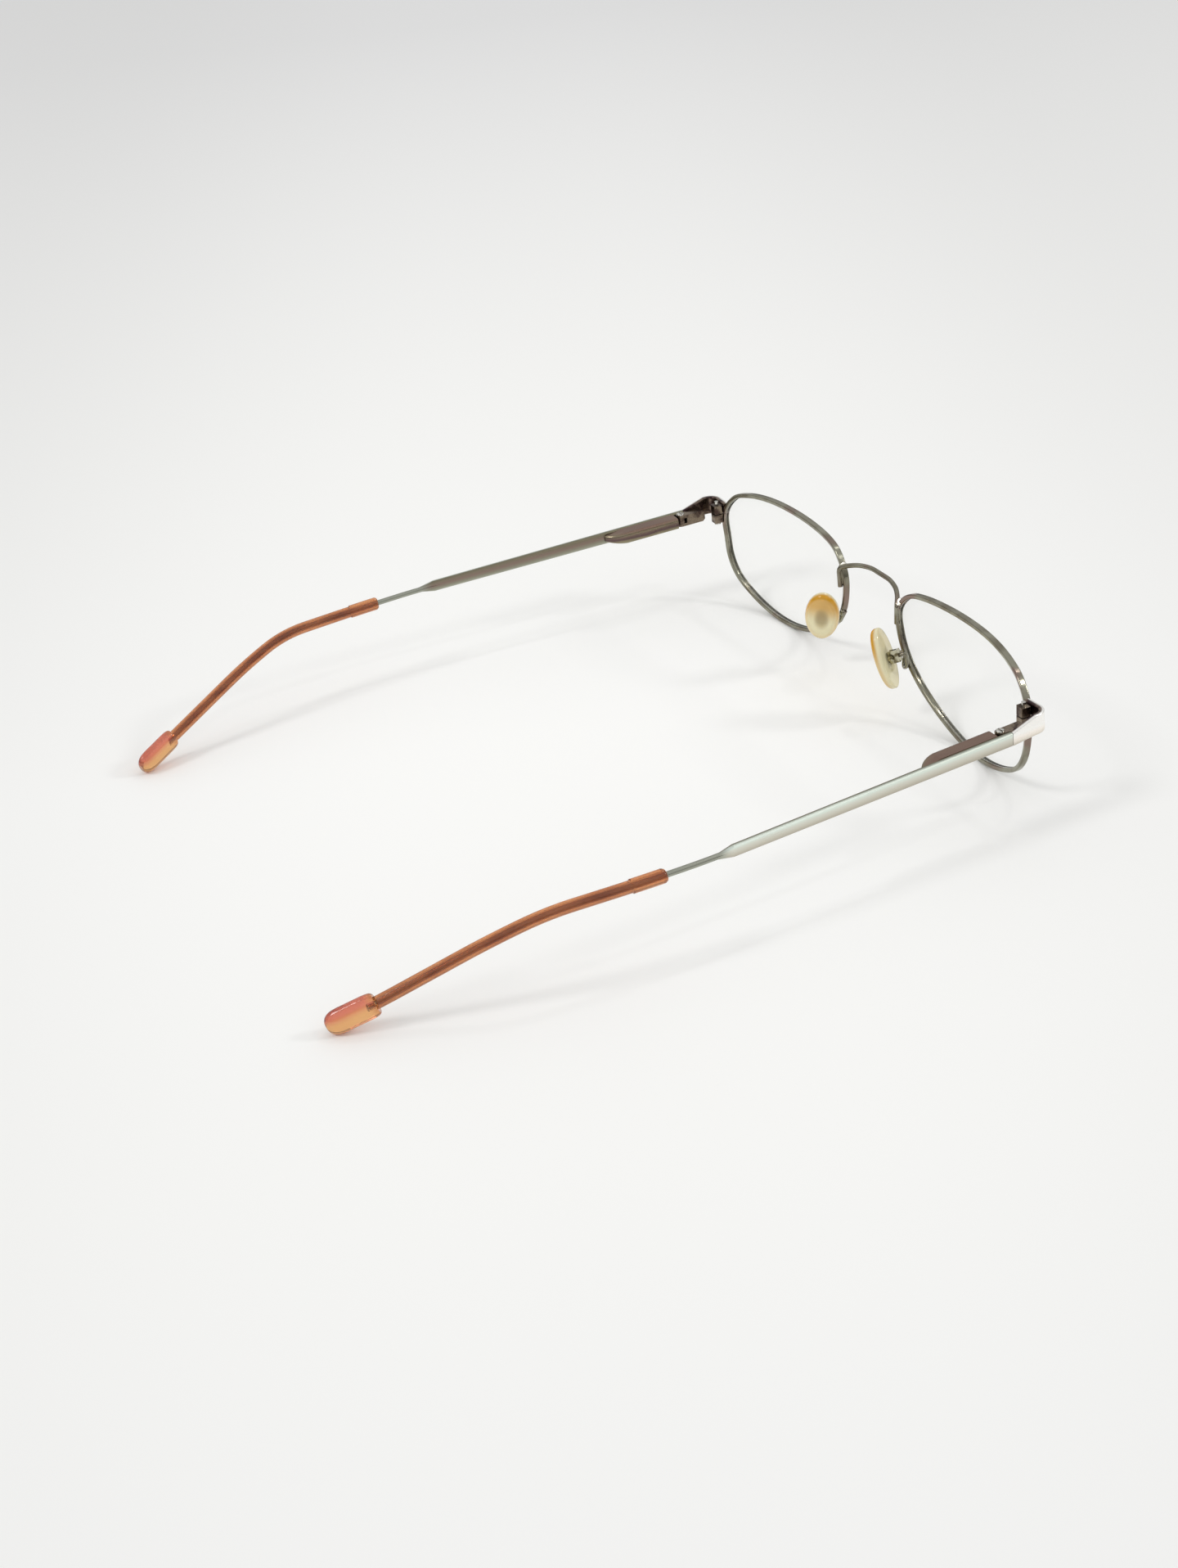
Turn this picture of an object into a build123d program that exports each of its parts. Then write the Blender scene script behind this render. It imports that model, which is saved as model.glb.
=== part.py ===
"""Oval metal spectacles with sprung temple hinges, open and standing on a table.

X runs across the front with the wearer's left side positive, Y runs back towards the
temple tips, and Z is up. The origin lies on the table under the middle of the outer box.
Every left-hand piece is made once and mirrored for the right. Lengths are in millimetres
and angles in degrees.
"""
import os
from math import cos, radians, sin, tan

from build123d import *

os.makedirs("parts", exist_ok=True)

# Lenses and the grooved rim wire round them
lens_centre_x = 34.2
rim_half_width = 23.5
rim_half_height = 14.1
rim_outline_shares = [
    (0.976, 0.0), (0.909, 0.52), (0.475, 0.812), (0.0, 0.858), (-0.489, 0.837), (-0.984, 0.563),
    (-0.992, 0.0), (-0.808, -0.466), (-0.474, -0.822), (0.0, -1.026), (0.526, -0.911),
    (0.893, -0.515),
]
outline_samples = 24
outline_arcs = 8
rim_face = 0.95
rim_depth = 1.35
rim_rounding = 0.26
groove_depth = 0.35
groove_width = 0.6
base_curve_radius = 101.0
lens_thickness = 1.1
lens_clearance = 0.04
lens_wrap = 2.94
front_tilt = 1.5

# Bridge wire, soldered behind both rims
bridge_wire = 1.0
bridge_foot_length = 4.2
bridge_rise = 1.75
bridge_reach = 3.4
bridge_foot_share = 0.26
bridge_shoulder_shares = [(0.87, 0.36), (0.65, 0.72), (0.34, 0.95)]

# Rim lock: two blocks behind the temple side of each rim, drawn together by a screw
lock_width = 2.1
lock_depth = 2.0
lock_height = 4.0
lock_gap = 0.25
lock_rise = 4.5
lock_outset = 0.2
lock_setback = 5.55
lock_rounding = 0.35
lock_screw_radius = 0.45
lock_screw_head_radius = 0.7
lock_screw_head_height = 0.45
lock_screw_tip = 0.8

# Hinge pin, its knuckles and the line where endpiece and temple meet
hinge_outset = 3.5
hinge_setback = 12.9
hinge_rise = 3.73
temple_splay = 3.1
temple_pitch = 1.38
pin_radius = 0.45
pin_clearance = 0.05
knuckle_radius = 1.0
knuckle_clearance = 0.1
eye_height = 1.1
leaf_height = 0.65
leaf_clearance = 0.05
joint_setback = 1.2
joint_gap = 0.08
fork_length = 4.2
hinge_head_radius = 0.85
hinge_head_height = 0.35
slot_width = 0.25

# Endpiece strap round the corner of the front
strap_thickness = 1.1
strap_corner_radius = 2.8
endpiece_reach = 8.0
endpiece_arm = 5.2
endpiece_front_top = 3.0
endpiece_front_bottom = 0.95
endpiece_flare_share = 0.76
endpiece_rounding = 0.25

# Temple blade and the core wire drawn down from it
blade_height = 2.7
blade_end_height = 2.25
blade_chamfer = 0.25
blade_length_share = 0.447
blade_taper = 3.8
blade_tail_share = 0.6
core_radius = 0.55
temple_length = 129.2
tip_inset = 16.15
route_shares = [
    (0.43, 0.0, 0.0), (0.495, 0.01, 0.0), (0.588, 0.071, 0.0), (0.716, 0.195, 0.0),
    (0.793, 0.387, 0.226), (0.938, 0.796, 0.781), (1.0, 1.0, 1.0),
]
bend_share = 0.45

# Moulded temple tip with its front collar and paddle end
tip_start_share = 0.5485
tip_radius = 1.16
collar_radius = 1.34
collar_length = 6.3
collar_rounding = 0.45
collar_step_share = 0.8
paddle_half_height = 2.35
paddle_half_width = 1.5
paddle_twist = 15.0
paddle_floor_share = 0.645
paddle_shares = [
    (-0.02, 0.8), (0.03, 0.93), (0.1, 0.98), (0.22, 1.0), (0.4, 1.0), (0.58, 1.0), (0.74, 0.99),
    (0.87, 0.89), (0.96, 0.66), (1.0, 0.4),
]
core_clearance = 0.04
core_end_gap = 1.2

# Spring unit on the inner side of the blade
case_start_gap = 0.35
case_height = 2.5
case_end_height = 1.5
case_wall = 0.95
case_nose_length = 4.2
case_nose_shares = [(0.0, 0.12), (0.3, 0.62)]
case_rounding = 0.6
bore_radius = 0.9
bore_margin = 1.15
bore_end_wall = 2.1
rod_radius = 0.35
rod_clearance = 0.04
neck_width = 0.7
neck_length = 3.1
bushing_start = 3.4
bushing_length = 1.5
nut_radius = 0.8
nut_length = 1.0
rod_length = 14.6
spring_wire = 0.22
spring_clearance = 0.08
spring_turns = 11

# Nose pads on their arms
pad_x = 12.06
pad_y = 6.43
pad_drop = 2.4
pad_length = 12.7
pad_width = 7.1
pad_thickness = 1.9
pad_back = 0.75
pad_front_rounding = 1.1
pad_back_rounding = 0.4
pad_splay = 42.0
pad_frontal_angle = 21.1
pad_lean = 6.3
core_plate_width = 2.4
core_plate_length = 3.8
core_plate_thickness = 0.5
tab_thickness = 0.7
tab_radius = 1.05
pivot_depth = 1.55
pad_pin_radius = 0.35
cheek_thickness = 0.4
cheek_clearance = 0.06
cheek_rise = 0.42
box_margin = 0.2
pad_head_radius = 0.6
pad_head_height = 0.35
arm_wire = 0.8
arm_entry = 1.35
arm_foot_share = 0.968
arm_foot_y = 1.25
arm_foot_drop = 2.6
arm_low_inset = 1.6
arm_low_y = 2.5
arm_low_drop = 5.6
arm_rise_outset = 2.64
arm_rise_y = 2.9
arm_rise_drop = 4.2

overrun = 3.0

lens_centre_z = rim_half_height * -min(v for u, v in rim_outline_shares) + rim_face / 2
hinge_x = lens_centre_x + rim_half_width + hinge_outset
hinge_z = lens_centre_z + hinge_rise
lens_place = (
    Location((lens_centre_x, 0, lens_centre_z))
    * Rotation(front_tilt, 0, 0)
    * Rotation(0, 0, lens_wrap)
)
hinge_place = (
    Location((hinge_x, hinge_setback, hinge_z))
    * Rotation(0, 0, -temple_splay)
    * Rotation(-temple_pitch, 0, 0)
)

pin_to_face = knuckle_radius + knuckle_clearance
lock_x = lens_centre_x + rim_half_width + lock_outset
lock_y = lock_setback
lock_z = lens_centre_z + lock_rise
core_end = route_shares[-2][0] * temple_length + core_end_gap
tip_drop = (
    hinge_z
    - temple_length * sin(radians(temple_pitch))
    - paddle_half_height * paddle_floor_share
)
bridge_seat_y = (
    rim_half_width**2 / (2 * base_curve_radius)
    - rim_half_width * sin(radians(lens_wrap))
    + (rim_depth + bridge_wire) / 2
    - lens_clearance
)
Z_UP = Vector(0, 0, 1)


def slab(low, high):
    """A box from its low corner to its high corner."""
    low, high = Vector(*low), Vector(*high)
    size = high - low
    return Pos(*((low + high) / 2)) * Box(size.X, size.Y, size.Z)


def rod(radius, start, end):
    """A round bar from one point to another."""
    start, end = Vector(*start), Vector(*end)
    return extrude(Plane(origin=start, z_dir=end - start) * Circle(radius), (end - start).length)


def bent_path(points, share):
    """Straight runs joined by arcs as large as their runs allow."""
    points = [Vector(*p) for p in points]
    radii = []
    for before, corner, after in zip(points, points[1:], points[2:]):
        turn = radians((corner - before).get_angle(after - corner))
        run = min((corner - before).length, (after - corner).length)
        radii.append(share * run / tan(turn / 2))
    return FilletPolyline(*points, radius=radii)


def bent_bar(path, radius):
    """A round bar along a path."""
    return sweep(Plane(origin=path @ 0, z_dir=path % 0) * Circle(radius), path=path)


def outline(grow):
    """The closed lens outline, grown outwards, in the lens's own upright plane."""
    base = Spline(
        *[Vector(u * rim_half_width, 0, v * rim_half_height) for u, v in rim_outline_shares],
        periodic=True,
    )
    points, tangents = [], []
    for i in range(outline_samples + 1):
        share = (i / outline_samples) % 1
        along = base % share
        points.append(base @ share + Vector(along.Z, 0, -along.X) * grow)
        tangents.append(along)
    step = outline_samples // outline_arcs
    arcs = [
        Spline(*points[i:i + step + 1], tangents=[tangents[i], tangents[i + step]])
        for i in range(0, outline_samples, step)
    ]
    return Face(Wire(arcs))


def prism(grow):
    """The grown outline drawn out along the line of sight."""
    return extrude(outline(grow), amount=rim_half_height, dir=(0, 1, 0), both=True)


def shell(thickness):
    """A skin of the base curve's ball, equally thick in front and behind."""
    ball = Sphere(base_curve_radius + thickness / 2) - Sphere(base_curve_radius - thickness / 2)
    return Pos(0, base_curve_radius, 0) * ball


def rim_envelope():
    """All that the rim and its lens fill, in the lens's own frame."""
    return prism(rim_face / 2) & shell(rim_depth)


def make_rim():
    ring = rim_envelope() - prism(-rim_face / 2)
    edges = [e for e in ring.edges() if e.length > 2 * rim_depth]
    ring = fillet(edges, rim_rounding)
    return ring - (prism(groove_depth - rim_face / 2) & shell(groove_width))


def make_lens():
    body = prism(-rim_face / 2 - lens_clearance) & shell(lens_thickness)
    ridge = prism(groove_depth - rim_face / 2 - lens_clearance)
    return body + (ridge & shell(groove_width - 2 * lens_clearance))


def make_rim_lock(envelope, endpiece):
    """The two halves of the rim lock and the screw that draws them together."""
    middle = Vector(lock_x, lock_y, lock_z)
    half = Vector(lock_width, lock_depth, lock_height) / 2
    block = Pos(*middle) * Box(lock_width, lock_depth, lock_height)
    block = fillet(block.edges().filter_by(Axis.Z), lock_rounding)
    bore = rod(lock_screw_radius, middle - half.Z * Z_UP, middle + half.Z * Z_UP)
    block = block - envelope - endpiece - bore
    upper = block & slab(middle + (-overrun, -overrun, lock_gap / 2), middle + (overrun,) * 3)
    lower = block & slab(middle - (overrun,) * 3, middle + (overrun, overrun, -lock_gap / 2))
    foot = middle - half.Z * Z_UP
    screw = rod(lock_screw_radius, foot, middle + (half.Z + lock_screw_tip) * Z_UP)
    head = rod(lock_screw_head_radius, foot - lock_screw_head_height * Z_UP, foot)
    slot = Pos(*(foot - lock_screw_head_height * Z_UP)) * Box(
        2 * lock_screw_head_radius, slot_width, lock_screw_head_height
    )
    return largest(upper), largest(lower), screw + head - slot


def make_endpiece(envelope):
    """The strap from the rim round the corner to the joint line, in the hinge's frame."""
    inner = pin_to_face
    outer = pin_to_face + strap_thickness
    front = -joint_setback - endpiece_reach
    back = -joint_setback - joint_gap
    arm = inner - endpiece_arm
    corners = [
        (arm, front - strap_thickness / 2), (outer, front - strap_thickness / 2), (outer, back),
        (inner, back), (inner, front + strap_thickness / 2), (arm, front + strap_thickness / 2),
    ]
    band = round_corner(make_face(Polyline(*corners, close=True)), corners[1], strap_corner_radius)
    band = round_corner(band, corners[4], strap_corner_radius - strap_thickness)
    band = extrude(band, amount=lock_height, both=True)
    flare = -joint_setback - endpiece_flare_share * (endpiece_reach - strap_thickness)
    side = Polyline(
        (0, back, blade_height / 2), (0, flare, endpiece_front_top),
        (0, front - strap_thickness, endpiece_front_top),
        (0, front - strap_thickness, -endpiece_front_bottom),
        (0, flare, -endpiece_front_bottom), (0, back, -blade_height / 2), close=True,
    )
    side = extrude(make_face(side), amount=endpiece_arm * 2, dir=(1, 0, 0), both=True)
    strap = band & side
    level = [e for e in strap.edges() if abs((e % 0.5).Z) < cos(radians(45))]
    strap = fillet(level, endpiece_rounding)
    lower_rim = slab(
        (lock_x - lock_width - overrun, -overrun, 0),
        (lock_x + lock_width / 2 + lock_gap, lock_y + lock_depth, lock_z + lock_gap / 2),
    )
    return largest(hinge_place * strap - envelope - lower_rim)


def make_fork():
    """The two leaves soldered inside the endpiece, in the hinge's frame."""
    top = eye_height / 2 + leaf_clearance + leaf_height
    root = slab(
        (-knuckle_radius, -joint_setback - fork_length, -top),
        (pin_to_face, -joint_setback - joint_gap, top),
    )
    root = chamfer(root.edges().filter_by(Axis.X).group_by(Axis.Y)[0], knuckle_radius / 2)
    leaf = slab((-knuckle_radius, -joint_setback - joint_gap, -top), (knuckle_radius, 0, top))
    barrel = rod(knuckle_radius, (0, 0, -top), (0, 0, top))
    gap = slab(
        (-overrun, -knuckle_radius - knuckle_clearance, -eye_height / 2 - leaf_clearance),
        (overrun, overrun, eye_height / 2 + leaf_clearance),
    )
    return root + leaf + barrel - gap - rod(pin_radius, (0, 0, -top), (0, 0, top))


def make_hinge_screw():
    top = eye_height / 2 + leaf_clearance + leaf_height
    screw = rod(pin_radius, (0, 0, -top), (0, 0, top))
    head = rod(hinge_head_radius, (0, 0, top), (0, 0, top + hinge_head_height))
    head = chamfer(head.edges().group_by(Axis.Z)[-1], hinge_head_height / 3)
    slot = Pos(0, 0, top + hinge_head_height) * Box(
        2 * hinge_head_radius, slot_width, hinge_head_height
    )
    return screw + head - slot


def make_carriage():
    """The middle knuckle, its flat neck and the rod that runs into the spring case."""
    half = eye_height / 2
    eye = rod(knuckle_radius, (0, 0, -half), (0, 0, half))
    neck = slab((-neck_width / 2, 0, -half), (neck_width / 2, neck_length, half))
    shank = rod(rod_radius, (0, neck_length, 0), (0, rod_length, 0))
    return eye + neck + shank - rod(pin_radius + pin_clearance, (0, 0, -half), (0, 0, half))


def make_nut():
    """The collar riveted on the rod's rear end, which the spring pushes on."""
    start = rod_length - nut_length
    collar = rod(nut_radius, (0, start, 0), (0, rod_length, 0))
    return collar - rod(rod_radius, (0, start, 0), (0, rod_length, 0))


def make_bushing():
    end = bushing_start + bushing_length
    tube = rod(bore_radius, (0, bushing_start, 0), (0, end, 0))
    return tube - rod(rod_radius + rod_clearance, (0, bushing_start, 0), (0, end, 0))


def make_spring():
    """The coil between the bushing and the rod's collar."""
    free = rod_length - nut_length - bushing_start - bushing_length - spring_wire
    radius = bore_radius - spring_clearance - spring_wire / 2
    coil = Helix(pitch=free / spring_turns, height=free, radius=radius)
    wire = Plane(origin=coil @ 0, z_dir=coil % 0) * Circle(spring_wire / 2)
    spring = sweep(wire, path=coil, is_frenet=True)
    seat = bushing_start + bushing_length + spring_wire / 2
    return Pos(0, seat, 0) * Rotation(-90, 0, 0) * spring


def make_case():
    """The spring case on the blade's inner face, tapering back to a rounded end."""
    start = knuckle_radius + case_start_gap
    floor = rod_length + bore_margin
    end = floor + bore_end_wall
    waist = end - case_nose_length
    depth = pin_to_face + bore_radius + case_wall
    nose = [(pin_to_face - across * depth, end - along * case_nose_length)
            for along, across in case_nose_shares]
    shoulder = (pin_to_face - depth, waist)
    plan = Polyline(
        shoulder, (pin_to_face - depth, start), (pin_to_face, start), (pin_to_face, end), nose[0],
    )
    plan = plan + ThreePointArc(nose[0], nose[1], shoulder)
    plan = extrude(make_face(plan), amount=case_height, both=True)
    side = Polyline(
        (0, start, case_height / 2), (0, waist, case_height / 2), (0, end, case_end_height / 2),
        (0, end, -case_end_height / 2), (0, waist, -case_height / 2), (0, start, -case_height / 2),
        close=True,
    )
    side = extrude(make_face(side), amount=case_height, dir=(1, 0, 0), both=True)
    case = plan & side
    case = fillet(case.edges().filter_by(lambda e: inner_long_edge(e, start)), case_rounding)
    return case - rod(bore_radius, (0, start, 0), (0, floor, 0))


def inner_long_edge(edge, start):
    """True for the long edges on the case's side away from the blade."""
    middle = edge @ 0.5
    return edge.length > case_nose_length / 2 and middle.X < pin_to_face / 2 and middle.Y > start


def temple_route():
    """The temple's centre line from inside the blade to the end of the tip."""
    line_x = pin_to_face + strap_thickness / 2
    return [
        (line_x - inset * tip_inset, length * temple_length, -drop * tip_drop)
        for length, inset, drop in route_shares
    ]


def make_blade(path):
    """The flat blade and the round core wire that runs on inside the tip, one piece."""
    start = -joint_setback
    end = blade_length_share * temple_length
    reach = core_radius * blade_tail_share
    flat = strap_thickness / 2
    blade = flat_sided([
        bevelled_ring(start, flat, blade_height / 2, blade_chamfer),
        bevelled_ring(end, flat, blade_end_height / 2, blade_chamfer),
        bevelled_ring(end + blade_taper, reach, reach, blade_chamfer * blade_tail_share),
    ])
    core = bent_bar(path, core_radius) & slab(
        (-temple_length, start, -temple_length), (temple_length, core_end, temple_length)
    )
    return blade + core


def bevelled_ring(place, half_width, half_height, bevel):
    """The corners of the blade's section at one place along it."""
    middle = pin_to_face + strap_thickness / 2
    short_width = half_width - bevel
    short_height = half_height - bevel
    corners = [
        (half_width, short_height), (short_width, half_height), (-short_width, half_height),
        (-half_width, short_height), (-half_width, -short_height), (-short_width, -half_height),
        (short_width, -half_height), (half_width, -short_height),
    ]
    return [Vector(middle + x, place, z) for x, z in corners]


def flat_sided(rings):
    """A solid whose flat faces join rings of as many points."""
    faces = [Face(Wire.make_polygon(ring)) for ring in (rings[0], rings[-1])]
    for near, far in zip(rings, rings[1:]):
        for i in range(len(near)):
            faces.append(Face(Wire.make_polygon([near[i - 1], near[i], far[i], far[i - 1]])))
    return Solid(Shell(faces))


def make_tip(path):
    """The moulded sleeve over the core wire, with its front collar and paddle end."""
    begin = tip_start_share * temple_length
    side = temple_length
    route = temple_route()
    heel, nose = Vector(*route[-2]), Vector(*route[-1])
    sleeve = bent_bar(path, tip_radius) & slab((-side, begin, -side), (side, heel.Y, side))
    collar = bent_bar(path, collar_radius) & slab(
        (-side, begin, -side), (side, begin + collar_length, side)
    )
    collar = fillet(collar.edges().group_by(Axis.Y)[0], collar_rounding)
    step = collar_step_share * (collar_radius - tip_radius)
    collar = chamfer(collar.edges().group_by(Axis.Y)[-1], step)
    along = nose - heel
    across = Vector(1, 0, 0)
    across = across - along * (across.dot(along) / along.dot(along))
    turned = Plane(origin=heel, x_dir=across, z_dir=along).location * Rotation(0, 0, -paddle_twist)
    sections = [
        turned
        * Pos(0, 0, station * along.length)
        * Ellipse(size * paddle_half_width, size * paddle_half_height)
        for station, size in paddle_shares
    ]
    paddle = loft(sections)
    hollow = bent_bar(path, core_radius + core_clearance) & slab(
        (-side, begin - overrun, -side), (side, core_end, side)
    )
    return sleeve + collar + paddle - hollow


def largest(shape):
    return shape.solids().sort_by(SortBy.VOLUME)[-1]


def round_corner(face, corner, radius):
    """A flat face with one corner rounded."""
    vertex = face.vertices().sort_by_distance(Vector(*corner))[0]
    return fillet(vertex, radius)


def make_pad_plane():
    """The pad's own plane: X across the pad to the back, Z out of its face."""
    up = Vector(-tan(radians(pad_frontal_angle)), tan(radians(pad_lean)), 1).normalized()
    back = Vector(sin(radians(pad_splay)), cos(radians(pad_splay)), 0)
    back = (back - up * back.dot(up)).normalized()
    return Plane(
        origin=(pad_x, pad_y, lens_centre_z - pad_drop), x_dir=back, z_dir=up.cross(back)
    )


def make_pad():
    """The moulded pad, round its metal core."""
    body = Pos(0, 0, -pad_back) * Ellipse(pad_width / 2, pad_length / 2)
    body = extrude(body, pad_thickness)
    rims = body.edges().group_by(Axis.Z)
    body = fillet(rims[-1], pad_front_rounding)
    body = fillet(body.edges().group_by(Axis.Z)[0], pad_back_rounding)
    return body - make_pad_core()


def make_pad_core():
    """The metal plate inside the pad and the tab that the pad screw passes through."""
    plate = Pos(0, 0, -core_plate_thickness / 2) * Box(
        core_plate_width, core_plate_length, core_plate_thickness
    )
    half = tab_thickness / 2
    tab = slab((-half, -tab_radius, -pivot_depth), (half, tab_radius, -core_plate_thickness))
    tab = tab + rod(tab_radius, (-half, 0, -pivot_depth), (half, 0, -pivot_depth))
    hole = rod(pad_pin_radius + pin_clearance, (-half, 0, -pivot_depth), (half, 0, -pivot_depth))
    return plate + tab - hole


def make_pad_box():
    """The small soldered box whose two cheeks hold the pad's tab."""
    inner = tab_thickness / 2 + cheek_clearance
    outer = inner + cheek_thickness
    reach = tab_radius + box_margin
    floor = -pivot_depth - reach
    box = slab((-outer, -reach, floor - cheek_thickness), (outer, reach, cheek_rise - pivot_depth))
    box = box - slab((-inner, -overrun, floor), (inner, overrun, overrun))
    return box - rod(pad_pin_radius, (-outer, 0, -pivot_depth), (outer, 0, -pivot_depth))


def make_pad_screw():
    outer = tab_thickness / 2 + cheek_clearance + cheek_thickness
    shank = rod(pad_pin_radius, (-outer, 0, -pivot_depth), (outer, 0, -pivot_depth))
    face = outer + pad_head_height
    head = rod(pad_head_radius, (outer, 0, -pivot_depth), (face, 0, -pivot_depth))
    slot = Pos(face, 0, -pivot_depth) * Box(pad_head_height, slot_width, 2 * pad_head_radius)
    return shank + head - slot


def make_pad_arm(plane, envelope):
    """The wire that dips from the back of the rim and rises to the floor of the pad box."""
    floor = -pivot_depth - tab_radius - box_margin - cheek_thickness
    seat = plane.from_local_coords(Vector(0, 0, floor))
    away = plane.from_local_coords(Vector(0, 0, floor - arm_entry))
    inner_x = lens_centre_x - rim_half_width
    foot_x = lens_centre_x - rim_half_width * arm_foot_share
    route = [
        (foot_x, arm_foot_y, lens_centre_z - arm_foot_drop),
        (inner_x + arm_low_inset, arm_low_y, lens_centre_z - arm_low_drop),
        (pad_x + arm_rise_outset, arm_rise_y, lens_centre_z - arm_rise_drop),
        away, seat,
    ]
    arm = bent_bar(bent_path(route, bend_share), arm_wire / 2)
    return largest(arm - envelope)


def make_bridge(envelopes):
    """The bridge wire: a forward arch between two feet laid along the rims."""
    foot_x = lens_centre_x - rim_half_width
    foot_y = bridge_seat_y
    top_z = lens_centre_z + rim_half_height * bridge_foot_share + bridge_foot_length
    right = [
        (foot_x, foot_y, top_z - bridge_foot_length),
        (foot_x + bridge_wire * bridge_foot_share, foot_y, top_z),
    ]
    for width, height in bridge_shoulder_shares:
        right.append(
            (foot_x * width, foot_y - bridge_reach * height, top_z + bridge_rise * height)
        )
    left = [(-x, y, z) for x, y, z in reversed(right)]
    return bent_bar(bent_path(right + left, bend_share), bridge_wire / 2) - envelopes


envelope = lens_place * rim_envelope()
endpiece = make_endpiece(envelope)
upper_lock, lower_lock, lock_screw = make_rim_lock(envelope, endpiece)
split = slab(
    (lock_x - lock_width - overrun, -overrun, lock_z - lock_gap / 2),
    (lock_x + overrun, lock_y + overrun, lock_z + lock_gap / 2),
)
route = bent_path(temple_route(), bend_share)
pad_plane = make_pad_plane()
arm = make_pad_arm(pad_plane, envelope)

left = {
    "rim": lens_place * make_rim() - split,
    "lens": lens_place * make_lens(),
    "rim_lock_upper": upper_lock,
    "rim_lock_lower": lower_lock,
    "rim_lock_screw": lock_screw,
    "endpiece": endpiece,
    "hinge_fork": hinge_place * make_fork(),
    "hinge_screw": hinge_place * make_hinge_screw(),
    "spring_carriage": hinge_place * make_carriage(),
    "rod_collar": hinge_place * make_nut(),
    "case_bushing": hinge_place * make_bushing(),
    "coil_spring": hinge_place * make_spring(),
    "spring_case": hinge_place * make_case(),
    "temple_blade": hinge_place * make_blade(route),
    "temple_tip": hinge_place * make_tip(route),
    "pad_arm": arm,
    "pad_box": pad_plane.location * make_pad_box(),
    "pad_screw": pad_plane.location * make_pad_screw(),
    "pad_core": pad_plane.location * make_pad_core(),
    "nose_pad": pad_plane.location * make_pad(),
}
whole = {"bridge": make_bridge(envelope + mirror(envelope, about=Plane.YZ))}
for name, shape in left.items():
    whole["left_" + name] = shape
    whole["right_" + name] = mirror(shape, about=Plane.YZ)

boxes = [shape.bounding_box() for shape in whole.values()]
low_y = min(b.min.Y for b in boxes)
high_y = max(b.max.Y for b in boxes)
table = min(b.min.Z for b in boxes)
to_table = Pos(0, -(low_y + high_y) / 2, -table)
for name, shape in whole.items():
    export_step(to_table * shape, "parts/" + name + ".step")
print("front to tips", high_y - low_y)
for name, place in (("hinge", hinge_place), ("pad", pad_plane.location)):
    plane = Plane(to_table * place)
    print(name, plane.origin, plane.x_dir, plane.y_dir, plane.z_dir)
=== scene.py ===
"""Oval metal eyeglasses with sprung hinges, standing open on a pale table."""

import bpy
from mathutils import Matrix, Vector


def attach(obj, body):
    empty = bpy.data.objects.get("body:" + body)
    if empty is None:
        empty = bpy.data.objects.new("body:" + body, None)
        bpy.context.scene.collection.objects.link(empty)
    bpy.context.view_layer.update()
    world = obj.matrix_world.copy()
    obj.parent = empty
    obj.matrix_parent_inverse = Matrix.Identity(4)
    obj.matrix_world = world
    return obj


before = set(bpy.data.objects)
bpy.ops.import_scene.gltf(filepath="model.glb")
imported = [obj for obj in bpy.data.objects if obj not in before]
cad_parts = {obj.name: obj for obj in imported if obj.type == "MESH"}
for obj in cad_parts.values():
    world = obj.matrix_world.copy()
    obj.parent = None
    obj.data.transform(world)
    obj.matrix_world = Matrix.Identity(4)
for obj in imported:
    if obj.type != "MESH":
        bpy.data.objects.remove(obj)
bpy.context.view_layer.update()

# The room: a white table top under wide, soft daylight that comes from behind the temple
# tips, with a window in front and two small panes above it, which only glint on the metal.
# Finishes are wired up by the two small classes below, and every colour is given as it
# looks on a screen.
TABLE_SIZE = 6.0
TABLE_AWAY = (0.92, -0.39, 0.0)
TABLE_ASIDE = (0.39, 0.92, 0.0)
# Painted light on the table: a painted pool of light round the glasses that falls off away from
# them, and painted shade towards both sides.
TABLE_PAINTED_FALLOFF = [
    (0.0, (242, 242, 241)), (0.12, (248, 248, 246)), (0.26, (253, 253, 251)),
    (0.44, (248, 248, 246)), (0.95, (231, 231, 231)),
]
TABLE_PAINTED_SIDE_SHADE = (222, 222, 221)
TABLE_SIDE_SHADE_FROM = 0.02
TABLE_SIDE_SHADE_TO = 0.2
TABLE_SIDE_SHADE_SHARE = 0.5
TABLE_NEAR = 0.24
TABLE_ROUGHNESS = 0.7
TABLE_GLOSS = 0.1
DAYLIGHT_FROM = Vector((0.11, 0.96, 1.0))
DAYLIGHT_DISTANCE = 2.2
DAYLIGHT_SIZE = 0.58
DAYLIGHT_WATTS = 9.2
WINDOW_FROM = Vector((-0.38, -0.77, 0.52))
WINDOW_DISTANCE = 1.6
WINDOW_SIZE = 0.26
WINDOW_WATTS = 3.5
PANES_FROM = (Vector((0.147, -0.49, 0.858)), Vector((-0.347, -0.507, 0.789)))
PANE_DISTANCE = 1.6
PANE_SIZE = 0.12
PANE_WATTS = 0.8
SKY_STRENGTH = 0.76
SKY_TOP = (255, 255, 255)
SKY_LOW = (158, 158, 154)
SKY_FULL_AT = 0.5


def seen(red, green, blue):
    """The linear colour of a screen colour."""
    linear = []
    for value in (red, green, blue):
        share = value / 255
        linear.append(share / 12.92 if share <= 0.04045 else ((share + 0.055) / 1.055) ** 2.4)
    return (*linear, 1.0)


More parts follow.
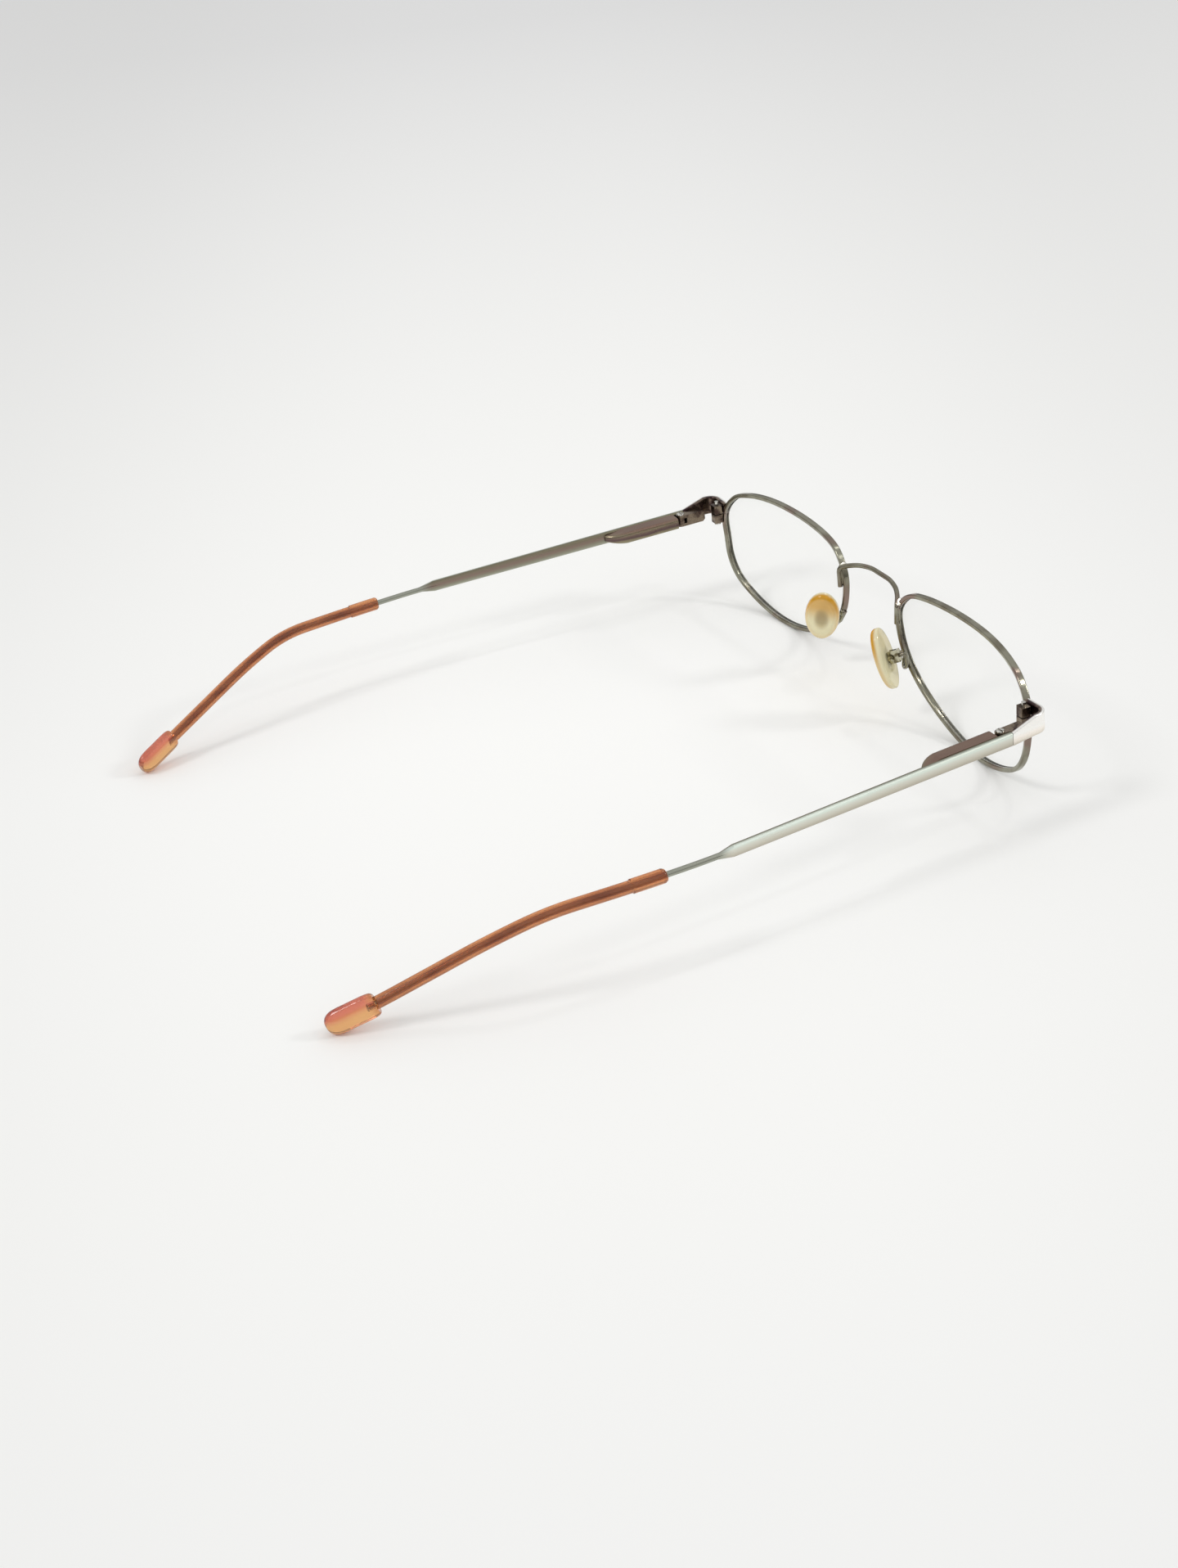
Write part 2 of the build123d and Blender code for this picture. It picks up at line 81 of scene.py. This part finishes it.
class Strand:
    """One output of a finish, on which arithmetic adds Math nodes."""

    def __init__(self, finish, socket):
        self.finish = finish
        self.socket = socket

    def sum_up(self, operation, first, second=0.0):
        return self.finish.node("ShaderNodeMath", {"operation": operation}, {0: first, 1: second})

    def __add__(self, other):
        return self.sum_up("ADD", self, other)

    def __radd__(self, other):
        return self.sum_up("ADD", other, self)

    def __sub__(self, other):
        return self.sum_up("SUBTRACT", self, other)

    def __rsub__(self, other):
        return self.sum_up("SUBTRACT", other, self)

    def __mul__(self, other):
        return self.sum_up("MULTIPLY", self, other)

    def __rmul__(self, other):
        return self.sum_up("MULTIPLY", other, self)

    def __truediv__(self, other):
        return self.sum_up("DIVIDE", self, other)

    def __rtruediv__(self, other):
        return self.sum_up("DIVIDE", other, self)

    def __pow__(self, other):
        return self.sum_up("POWER", self, other)

    def __neg__(self):
        return self.sum_up("MULTIPLY", self, -1.0)

    def at_least(self, other):
        return self.sum_up("MAXIMUM", self, other)


class Finish:
    """A surface finish in the making, whose nodes are added one by one."""

    def __init__(self, owner):
        owner.use_nodes = True
        self.owner = owner
        self.tree = owner.node_tree
        self.tree.nodes.clear()

    def node(self, kind, settings, sockets, output=0):
        """Adds a node: its settings first, then its sockets' values or links."""
        made = self.tree.nodes.new(kind)
        for name, value in settings.items():
            if name == "stops":
                ramp = made.color_ramp
                ramp.elements.remove(ramp.elements[-1])
                ramp.elements[0].position, ramp.elements[0].color = value[0]
                for place, colour in value[1:]:
                    ramp.elements.new(place).color = colour
            else:
                setattr(made, name, value)
        for name, value in sockets.items():
            if isinstance(value, Strand):
                self.tree.links.new(value.socket, made.inputs[name])
            else:
                made.inputs[name].default_value = value
        return Strand(self, made.outputs[output]) if made.outputs else None

    def place(self):
        """Where a point is on the glasses as they stand at rest."""
        return self.node("ShaderNodeTexCoord", {}, {}, "Object")

    def mix(self, first, second, share):
        """Two colours blended."""
        return self.node("ShaderNodeMix", {"data_type": "RGBA"}, {0: share, 6: first, 7: second}, 2)

    def ramp(self, value, tones):
        """A colour for each value, blended between the given ones."""
        stops = [(place, seen(*tone)) for place, tone in tones]
        return self.node("ShaderNodeValToRGB", {"stops": stops}, {"Fac": value})

    def grain(self, scale, stretch=(1.0, 1.0, 1.0), detail=3.0, seed=0.0):
        """Noise with so many grains to a metre, drawn out along an axis where stretch is small."""
        spot = self.node(
            "ShaderNodeMapping", {"vector_type": "POINT"},
            {"Vector": self.place(), "Location": (seed, seed, seed), "Scale": stretch},
        )
        return self.node(
            "ShaderNodeTexNoise", {}, {"Vector": spot, "Scale": scale, "Detail": detail}, "Fac",
        )

    def band(self, value, low, high):
        """Zero below one value and one above the other, with a smooth step."""
        return self.node(
            "ShaderNodeMapRange", {"interpolation_type": "SMOOTHSTEP"},
            {"Value": value, "From Min": low, "From Max": high},
        )

    def along(self, origin, direction):
        """How far a point lies from an origin along a direction, in metres."""
        offset = self.node(
            "ShaderNodeVectorMath", {"operation": "SUBTRACT"}, {0: self.place(), 1: origin},
        )
        return self.node(
            "ShaderNodeVectorMath", {"operation": "DOT_PRODUCT"}, {0: offset, 1: direction},
            "Value",
        )

    def bump(self, height, depth, strength):
        """A normal from a height, which goes as deep as depth in metres."""
        return self.node(
            "ShaderNodeBump", {}, {"Strength": strength, "Distance": depth, "Height": height},
        )

    def surface(self, sockets):
        """Ends the finish with one coat of these properties."""
        shader = self.node("ShaderNodeBsdfPrincipled", {}, sockets)
        self.node("ShaderNodeOutputMaterial", {}, {"Surface": shader})
        return self.owner


def dress(material, *nodes):
    """Gives solids of the frame their finish."""
    for name in nodes:
        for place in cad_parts[name].material_slots:
            place.material = material


def both(name):
    """A piece's name on the left and on the right."""
    return ["left_" + name, "right_" + name]


bpy.ops.object.select_all(action="DESELECT")
bpy.ops.mesh.primitive_plane_add(size=TABLE_SIZE, location=(0, 0, 0))
table = bpy.context.object
table.name = "table_top"
table_paint = Finish(bpy.data.materials.new("table_paint"))
away = table_paint.along((0, 0, 0), TABLE_AWAY)
aside = table_paint.along((0, 0, 0), TABLE_ASIDE)
# The table's base colour carries that painted pool of light and the painted side shade.
table.data.materials.append(table_paint.surface({
    "Base Color": table_paint.mix(
        table_paint.ramp(away + TABLE_NEAR, TABLE_PAINTED_FALLOFF), seen(*TABLE_PAINTED_SIDE_SHADE),
        table_paint.band((aside * aside) ** 0.5, TABLE_SIDE_SHADE_FROM, TABLE_SIDE_SHADE_TO)
        * TABLE_SIDE_SHADE_SHARE,
    ),
    "Roughness": TABLE_ROUGHNESS, "Specular IOR Level": TABLE_GLOSS,
}))

world = bpy.data.worlds.new("room")
bpy.context.scene.world = world
room = Finish(world)
height = room.node(
    "ShaderNodeSeparateXYZ", {}, {0: room.node("ShaderNodeTexCoord", {}, {}, "Generated")}, 2,
)
sky = room.mix(seen(*SKY_LOW), seen(*SKY_TOP), room.band(height, 0.0, SKY_FULL_AT))
sky = room.mix(sky, seen(*SKY_TOP), room.node("ShaderNodeLightPath", {}, {}, "Is Camera Ray"))
backdrop = room.node("ShaderNodeBackground", {}, {"Color": sky, "Strength": SKY_STRENGTH})
room.node("ShaderNodeOutputWorld", {}, {"Surface": backdrop})

for name, direction, distance, size, watts in (
    ("daylight", DAYLIGHT_FROM, DAYLIGHT_DISTANCE, DAYLIGHT_SIZE, DAYLIGHT_WATTS),
    ("window", WINDOW_FROM, WINDOW_DISTANCE, WINDOW_SIZE, WINDOW_WATTS),
    ("upper_pane", PANES_FROM[0], PANE_DISTANCE, PANE_SIZE, PANE_WATTS),
    ("side_pane", PANES_FROM[1], PANE_DISTANCE, PANE_SIZE, PANE_WATTS),
):
    bpy.ops.object.light_add(type="AREA", location=direction.normalized() * distance)
    light = bpy.context.object
    light.name = name
    light.data.shape = "DISK"
    light.data.size = size
    light.data.energy = watts
    light.rotation_euler = direction.to_track_quat("Z", "Y").to_euler()

view = bpy.context.scene.view_settings
view.view_transform = "Standard"

# The camera stands behind the wearer's right shoulder and looks down on the glasses.
CAMERA_AT = (-0.378296, 0.158451, 0.229315)
CAMERA_RIGHT = (-0.43753, -0.89470, -0.08991)
CAMERA_UP = (0.40698, -0.28620, 0.86744)
CAMERA_BACK = (-0.80183, 0.34294, 0.48935)
CAMERA_LENS = 55.24
CAMERA_NEAR = 0.01
FILM_HEIGHT = 36.0
bpy.ops.object.camera_add(location=(0, 0, 0))
camera = bpy.context.object
camera.matrix_world = Matrix([
    (right, up, back, at)
    for right, up, back, at in zip(CAMERA_RIGHT, CAMERA_UP, CAMERA_BACK, CAMERA_AT)
] + [(0, 0, 0, 1)])
camera.data.sensor_fit = "VERTICAL"
camera.data.sensor_height = FILM_HEIGHT
camera.data.lens = CAMERA_LENS
camera.data.clip_start = CAMERA_NEAR
bpy.context.scene.camera = camera

# The rims, the bridge and the pad arms: nickel silver wire, polished and plated in a warm
# gunmetal. The wire has faint drawing lines, and the plating is uneven where it was buffed.
RIM_PALE = (150, 148, 132)
RIM_DARK = (120, 114, 98)
RIM_MAUVE = (136, 118, 108)
RIM_ROUGHNESS = 0.11
RIM_FLECK_ROUGHNESS = 0.12
RIM_CLOUDS = 260.0
RIM_STAINS = 90.0
RIM_FLECKS = 2600.0
RIM_RELIEF = 0.00001
rim_plating = Finish(bpy.data.materials.new("rim_plating"))
cloud = rim_plating.grain(RIM_CLOUDS, detail=4.0)
fleck = rim_plating.grain(RIM_FLECKS, detail=2.0, seed=0.3)
rim_tone = rim_plating.mix(seen(*RIM_PALE), seen(*RIM_DARK), rim_plating.band(cloud, 0.35, 0.68))
rim_tone = rim_plating.mix(
    rim_tone, seen(*RIM_MAUVE),
    rim_plating.band(rim_plating.grain(RIM_STAINS, seed=0.7), 0.5, 0.62),
)
rim_metal = rim_plating.surface({
    "Base Color": rim_tone, "Metallic": 1.0,
    "Roughness": fleck * RIM_FLECK_ROUGHNESS + RIM_ROUGHNESS,
    "Normal": rim_plating.bump(fleck, RIM_RELIEF, 0.4),
})
dress(rim_metal, "bridge", *both("rim"), *both("pad_arm"))

# The silver solder that holds the bridge and the pad arms on the rims: a fillet along each
# bridge foot and at each pad arm's foot, plated over with the rest, and a drop on top of the
# bridge's foot that was filed flat on both flanks afterwards, so it shows bright metal.
SOLDER_PALE = (250, 248, 240)
SOLDER_DEEP = (196, 190, 172)
SOLDER_ROUGHNESS = 0.12
SOLDER_SCRATCHES = 2200.0
SOLDER_RELIEF = 0.00001
DROP_DETAIL = 3
DROP_WOBBLE = 0.00005
DROP_SMOOTHING = 3
FILED_ACROSS = 0.39
FILED_BACK = 0.665
FILED_UP = 0.635
FILED_AT = 0.00056
SHARP_EDGE = 0.6
SIDES = (("left", Vector((1, 1, 1))), ("right", Vector((-1, 1, 1))))
SOLDER_DROPS = (
    ("bridge_fillet", (0.0108, -0.06855, 0.0208), (0.00075, 0.00042, 0.0024), False),
    ("arm_drop", (0.01142, -0.0688, 0.01225), (0.00065, 0.0006, 0.0008), False),
    ("bridge_drop", (0.0107, -0.0689, 0.0231), (0.0009, 0.0011, 0.0009), True),
)
solder = Finish(bpy.data.materials.new("silver_solder"))
scratches = solder.grain(SOLDER_SCRATCHES, seed=9.4)
solder_metal = solder.surface({
    "Base Color": solder.mix(
        seen(*SOLDER_PALE), seen(*SOLDER_DEEP), solder.band(scratches, 0.42, 0.62),
    ),
    "Metallic": 1.0, "Roughness": scratches * 0.2 + SOLDER_ROUGHNESS,
    "Normal": solder.bump(scratches, SOLDER_RELIEF, 0.4),
})
for side, flip in SIDES:
    for seed, (name, spot, size, filed) in enumerate(SOLDER_DROPS):
        bpy.ops.object.select_all(action="DESELECT")
        bpy.ops.mesh.primitive_ico_sphere_add(
            subdivisions=DROP_DETAIL, radius=1.0, location=(0, 0, 0),
        )
        drop = bpy.context.object
        drop.name = side + "_" + name
        bpy.ops.object.mode_set(mode="EDIT")
        bpy.ops.transform.resize(value=size)
        bpy.ops.transform.vertex_random(offset=DROP_WOBBLE, seed=seed)
        bpy.ops.mesh.vertices_smooth(factor=0.5, repeat=DROP_SMOOTHING)
        if filed:
            for flank in (FILED_ACROSS, -FILED_ACROSS):
                normal = Vector((flank, FILED_BACK, FILED_UP))
                bpy.ops.mesh.select_all(action="SELECT")
                bpy.ops.mesh.bisect(
                    plane_co=normal * FILED_AT, plane_no=normal, use_fill=True, clear_outer=True,
                )
        bpy.ops.mesh.select_all(action="SELECT")
        bpy.ops.transform.translate(value=Vector(spot) * flip)
        bpy.ops.object.mode_set(mode="OBJECT")
        bpy.ops.object.shade_smooth_by_angle(angle=SHARP_EDGE)
        drop.data.materials.append(solder_metal if filed else rim_metal)
        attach(drop, "front")

# The lenses: clear cut resin with a thin clear coating, held in the rims' grooves.
LENS_TINT = (254, 255, 252)
LENS_INDEX = 1.5
LENS_ROUGHNESS = 0.03
LENS_HAZE = 0.003
LENS_SHEEN = 0.12
lens_resin = Finish(bpy.data.materials.new("lens_resin"))
gloss = lens_resin.node("ShaderNodeFresnel", {}, {"IOR": LENS_INDEX})
lens_clear = lens_resin.surface({
    "Base Color": seen(*LENS_TINT), "Roughness": LENS_ROUGHNESS,
    "Alpha": gloss * LENS_SHEEN + LENS_HAZE,
})
dress(lens_clear, *both("lens"))

# The rim locks: two small blocks soldered behind each rim and drawn together by a screw.
# They and the hinge parts get a darker plating than the rims, mottled at random.
DARK_PALE = (132, 118, 102)
DARK_DEEP = (72, 58, 52)
DARK_ROUGHNESS = 0.16
DARK_MOTTLE_SCALE = 420.0
DARK_RELIEF = 0.00003
dark_plating = Finish(bpy.data.materials.new("dark_plating"))
dark_mottle = dark_plating.grain(DARK_MOTTLE_SCALE, detail=5.0, seed=1.3)
dark_tone = dark_plating.mix(seen(*DARK_PALE), seen(*DARK_DEEP), dark_plating.band(dark_mottle, 0.4, 0.6))
dark_metal = dark_plating.surface({
    "Base Color": dark_tone, "Metallic": 1.0, "Roughness": dark_mottle * 0.2 + DARK_ROUGHNESS,
    "Normal": dark_plating.bump(dark_mottle, DARK_RELIEF, 0.4),
})
dress(dark_metal, *both("rim_lock_upper"), *both("rim_lock_lower"), *both("hinge_fork"),
      *both("spring_carriage"))

# The screws and the parts inside the spring cases: bright steel, turned and left plain.
STEEL_PALE = (206, 204, 198)
STEEL_DEEP = (132, 128, 116)
STEEL_ROUGHNESS = 0.14
STEEL_TURNING = 1500.0
STEEL_RELIEF = 0.00001
bright_steel = Finish(bpy.data.materials.new("bright_steel"))
turning = bright_steel.grain(STEEL_TURNING, seed=2.1)
steel_tone = bright_steel.mix(
    seen(*STEEL_PALE), seen(*STEEL_DEEP), bright_steel.band(turning, 0.42, 0.6),
)
steel = bright_steel.surface({
    "Base Color": steel_tone, "Metallic": 1.0, "Roughness": turning * 0.2 + STEEL_ROUGHNESS,
    "Normal": bright_steel.bump(turning, STEEL_RELIEF, 0.5),
})
dress(steel, *both("rim_lock_screw"), *both("hinge_screw"), *both("rod_collar"),
      *both("case_bushing"), *both("coil_spring"))

# The temple blades: stamped strip, brushed along its length and plated in a pale grey green
# outside and a dull bronze inside, where it lies against the head. Up its height each face is
# also painted with light and shade: outside, painted shade along the lower and top edges and a
# painted highlight high up; inside, lighter at the lower edge and darker upwards. Their rear
# ends are drawn down to round wire. Places on a temple are taken from its hinge pin.
HINGE = Vector((0.0612, -0.0579059, 0.0187467))
OUTWARD = Vector((0.998537, -0.054079, 0.0))
BACKWARD = Vector((0.054063, 0.998247, -0.024083))
UPWARD = Vector((0.001302, 0.024048, 0.99971))
BLADE_MIDDLE = 0.00165
BLADE_SEAM = 0.0002
BLADE_HEIGHT = 0.0027
BLADE_LEVEL_SHARE = 0.44
BLADE_ROUGHNESS = 0.2
BLADE_STROKES = 900.0
BLADE_RELIEF = 0.00002
BLADE_END = 0.0578
WIRE_START = 0.0612
BLADE_OUTSIDE_PAINTED_LIGHT = [
    (0.0, (160, 152, 138)), (0.12, (184, 177, 162)), (0.38, (206, 202, 188)),
    (0.62, (218, 219, 208)), (0.82, (228, 238, 229)), (0.93, (208, 215, 203)),
    (1.0, (170, 176, 165)),
]
BLADE_INSIDE_PAINTED_LIGHT = [
    (0.0, (192, 192, 184)), (0.14, (164, 165, 149)), (0.34, (142, 138, 122)),
    (0.55, (136, 118, 108)), (0.8, (128, 118, 102)), (1.0, (124, 119, 97)),
]
WIRE_TONE = (158, 160, 148)


def temple_place(paint, flip):
    """How far out, back and up from the hinge pin a point lies when the temple is open."""
    return [paint.along(HINGE * flip, axis * flip) for axis in (OUTWARD, BACKWARD, UPWARD)]


for side, flip in SIDES:
    brushed = Finish(bpy.data.materials.new(side + "_blade_plating"))
    out, back, up = temple_place(brushed, flip)
    stroke = brushed.grain(BLADE_STROKES, (1.0, 0.03, 1.0), 4.0, seed=3.1)
    # level runs up the blade, and the ramps on it paint light and shade in bands.
    level = up / BLADE_HEIGHT + BLADE_LEVEL_SHARE + stroke * 0.12
    blade_tone = brushed.mix(
        brushed.ramp(level, BLADE_INSIDE_PAINTED_LIGHT), brushed.ramp(level, BLADE_OUTSIDE_PAINTED_LIGHT),
        brushed.band(out, BLADE_MIDDLE - BLADE_SEAM, BLADE_MIDDLE + BLADE_SEAM),
    )
    blade_tone = brushed.mix(
        blade_tone, seen(*WIRE_TONE), brushed.band(back, BLADE_END, WIRE_START),
    )
    dress(brushed.surface({
        "Base Color": blade_tone, "Metallic": 1.0, "Roughness": stroke * 0.2 + BLADE_ROUGHNESS,
        "Normal": brushed.bump(stroke, BLADE_RELIEF, 0.5),
    }), side + "_temple_blade")

# The endpieces: strap bent round the corner of the front, with a satin champagne plating
# outside, painted with light and shade up its height: painted shade low down and a painted
# highlight along the top. Inside it is brown, with near-black patches at random that paint in
# shade.
CORNER_OUT = -0.0006
CORNER_FRONT = 0.00695
STRAP_MIDDLE = 0.00225
STRAP_SEAM_INNER = 0.0001
STRAP_SEAM_OUTER = 0.0003
STRAP_LEVEL_SHARE = 0.5
STRAP_ROUGHNESS = 0.2
STRAP_HAZE = 700.0
STRAP_RELIEF = 0.00001
STRAP_OUTSIDE_PAINTED_LIGHT = [
    (0.0, (176, 166, 152)), (0.1, (202, 194, 180)), (0.3, (238, 230, 218)),
    (0.55, (255, 248, 240)), (0.8, (255, 254, 250)), (1.0, (254, 252, 248)),
]
STRAP_INSIDE = (122, 106, 94)
STRAP_PAINTED_SHADE = (58, 42, 44)
for side, flip in SIDES:
    champagne = Finish(bpy.data.materials.new(side + "_endpiece_plating"))
    out, back, up = temple_place(champagne, flip)
    haze = champagne.grain(STRAP_HAZE, detail=4.0, seed=6.3)
    sideways = (out - CORNER_OUT).at_least(0.0)
    forward = (-back - CORNER_FRONT).at_least(0.0)
    round_corner = (sideways * sideways + forward * forward) ** 0.5
    outside = champagne.band(
        round_corner, STRAP_MIDDLE - STRAP_SEAM_INNER, STRAP_MIDDLE + STRAP_SEAM_OUTER,
    )
    # The inside gets near-black patches of painted shade, and the outside a ramp of painted light
    # up its height.
    inside_with_painted_shade = champagne.mix(seen(*STRAP_INSIDE), seen(*STRAP_PAINTED_SHADE), champagne.band(haze, 0.4, 0.6))
    strap_tone = champagne.mix(
        inside_with_painted_shade, champagne.ramp(up / BLADE_HEIGHT + STRAP_LEVEL_SHARE, STRAP_OUTSIDE_PAINTED_LIGHT), outside,
    )
    dress(champagne.surface({
        "Base Color": strap_tone, "Metallic": 1.0, "Roughness": haze * 0.14 + STRAP_ROUGHNESS,
        "Normal": champagne.bump(haze, STRAP_RELIEF, 0.4),
    }), side + "_endpiece")

# The spring cases: small stamped housings soldered on the blades' inner sides, plated in
# bands up their height, olive low down and high up with a dark mauve band between them.
CASE_HEIGHT = 0.0025
CASE_LEVEL_SHARE = 0.3
CASE_ROUGHNESS = 0.16
CASE_SMOKE = 420.0
CASE_RELIEF = 0.00002
CASE_TONES = [
    (0.0, (152, 148, 124)), (0.25, (142, 132, 108)), (0.42, (96, 78, 80)),
    (0.58, (116, 98, 90)), (0.8, (140, 130, 108)), (0.92, (136, 114, 100)),
    (1.0, (130, 106, 94)),
]
for side, flip in SIDES:
    case_plating = Finish(bpy.data.materials.new(side + "_case_plating"))
    out, back, up = temple_place(case_plating, flip)
    smoke = case_plating.grain(CASE_SMOKE, (1.0, 0.25, 1.0), 4.0, seed=4.7)
    dress(case_plating.surface({
        "Base Color": case_plating.ramp(
            up / CASE_HEIGHT + CASE_LEVEL_SHARE + smoke * 0.4, CASE_TONES,
        ),
        "Metallic": 1.0, "Roughness": smoke * 0.2 + CASE_ROUGHNESS,
        "Normal": case_plating.bump(smoke, CASE_RELIEF, 0.4),
    }), side + "_spring_case")

# The temple tips: clear amber acetate drawn over the core wire, glossy from tumbling. The
# flat paddle at the end has no wire in it, so it is paler, with a rose cast along its top.
TIP_AMBER = (230, 152, 92)
TIP_DEEP = (198, 116, 62)
PADDLE_GOLD = (242, 184, 118)
PADDLE_ROSE = (226, 108, 104)
PADDLE_HEEL = Vector((-0.011205, 0.12119, -0.01093))
PADDLE_NOSE = Vector((-0.0145, 0.1292, -0.013995))
PADDLE_FROM = -0.0006
PADDLE_FULL = 0.0016
PADDLE_TOP = 0.0016
TIP_STREAKS = 500.0
TIP_INDEX = 1.48
TIP_ROUGHNESS = 0.1
COAT_ROUGHNESS = 0.05
for side, flip in SIDES:
    acetate = Finish(bpy.data.materials.new(side + "_amber_acetate"))
    heel, nose = [
        HINGE + OUTWARD * spot.x + BACKWARD * spot.y + UPWARD * spot.z
        for spot in (PADDLE_HEEL, PADDLE_NOSE)
    ]
    line = (nose - heel).normalized()
    rise = (UPWARD - line * UPWARD.dot(line)).normalized()
    streak = acetate.grain(TIP_STREAKS, (1.0, 0.2, 1.0), seed=5.9)
    tip_tone = acetate.mix(seen(*TIP_AMBER), seen(*TIP_DEEP), acetate.band(streak, 0.38, 0.66))
    past_heel = acetate.along(heel * flip, line * flip)
    paddle_tone = acetate.mix(
        seen(*PADDLE_GOLD), seen(*PADDLE_ROSE),
        acetate.band(acetate.along(heel * flip, rise * flip), 0.0, PADDLE_TOP),
    )
    tip_tone = acetate.mix(
        tip_tone, paddle_tone, acetate.band(past_heel, PADDLE_FROM, PADDLE_FULL),
    )
    dress(acetate.surface({
        "Base Color": tip_tone, "Roughness": TIP_ROUGHNESS, "IOR": TIP_INDEX,
        "Transmission Weight": 0.85, "Coat Weight": 0.3, "Coat Roughness": COAT_ROUGHNESS,
    }), side + "_temple_tip")

# The nose pads: clear silicone moulded round a metal plate, which shows through as a darker
# patch. It has yellowed most on the side that lies on the nose, along the edge and at the top.
PAD_CREAM = (255, 247, 206)
PAD_AMBER = (228, 166, 26)
PAD_PLATE = (170, 142, 84)
PAD_CENTRE = Vector((0.01206, -0.0643759, 0.0126167))
PAD_ACROSS = Vector((0.618915, 0.770256, 0.153782))
PAD_DOWN = Vector((0.358102, -0.102457, -0.928044))
PAD_OUT = Vector((-0.699075, 0.62945, -0.339243))
PAD_HALF_WIDTH = 0.00355
PAD_HALF_LENGTH = 0.00635
PAD_SEAM = 0.0004
PAD_INDEX = 1.42
PAD_ROUGHNESS = 0.12
for side, flip in SIDES:
    silicone = Finish(bpy.data.materials.new(side + "_pad_silicone"))
    across = silicone.along(PAD_CENTRE * flip, PAD_ACROSS * flip) / PAD_HALF_WIDTH
    down = silicone.along(PAD_CENTRE * flip, PAD_DOWN * flip) / PAD_HALF_LENGTH
    raised = silicone.along(PAD_CENTRE * flip, PAD_OUT * flip)
    reach = across * across + down * down
    upper = silicone.band(-down, -0.2, 0.6)
    edge = silicone.band(reach, 0.4, 0.95) * (upper * 0.55 + 0.45)
    nose_side = silicone.band(raised, -PAD_SEAM, PAD_SEAM)
    pad_tone = silicone.mix(
        seen(*PAD_CREAM), seen(*PAD_AMBER), edge.at_least(upper * 0.8) * nose_side,
    )
    pad_tone = silicone.mix(
        pad_tone, seen(*PAD_PLATE), (1.0 - silicone.band(reach, 0.0, 0.3)) * nose_side * 0.7,
    )
    dress(silicone.surface({
        "Base Color": pad_tone, "Roughness": PAD_ROUGHNESS, "IOR": PAD_INDEX,
        "Transmission Weight": 0.25, "Coat Weight": 0.3, "Coat Roughness": COAT_ROUGHNESS,
    }), side + "_nose_pad")

# The pad boxes with their screws, and the plates inside the pads: olive plating over brass,
# shiny where the cheeks were pinched round the pads' tabs.
FITTING_PALE = (186, 182, 158)
FITTING_DEEP = (104, 96, 70)
FITTING_ROUGHNESS = 0.08
FITTING_TARNISH = 900.0
FITTING_RELIEF = 0.00002
olive_plating = Finish(bpy.data.materials.new("olive_plating"))
tarnish = olive_plating.grain(FITTING_TARNISH, detail=4.0, seed=8.2)
olive_metal = olive_plating.surface({
    "Base Color": olive_plating.mix(
        seen(*FITTING_PALE), seen(*FITTING_DEEP), olive_plating.band(tarnish, 0.4, 0.62),
    ),
    "Metallic": 1.0, "Roughness": tarnish * 0.16 + FITTING_ROUGHNESS,
    "Normal": olive_plating.bump(tarnish, FITTING_RELIEF, 0.5),
})
dress(olive_metal, *both("pad_box"), *both("pad_screw"), *both("pad_core"))
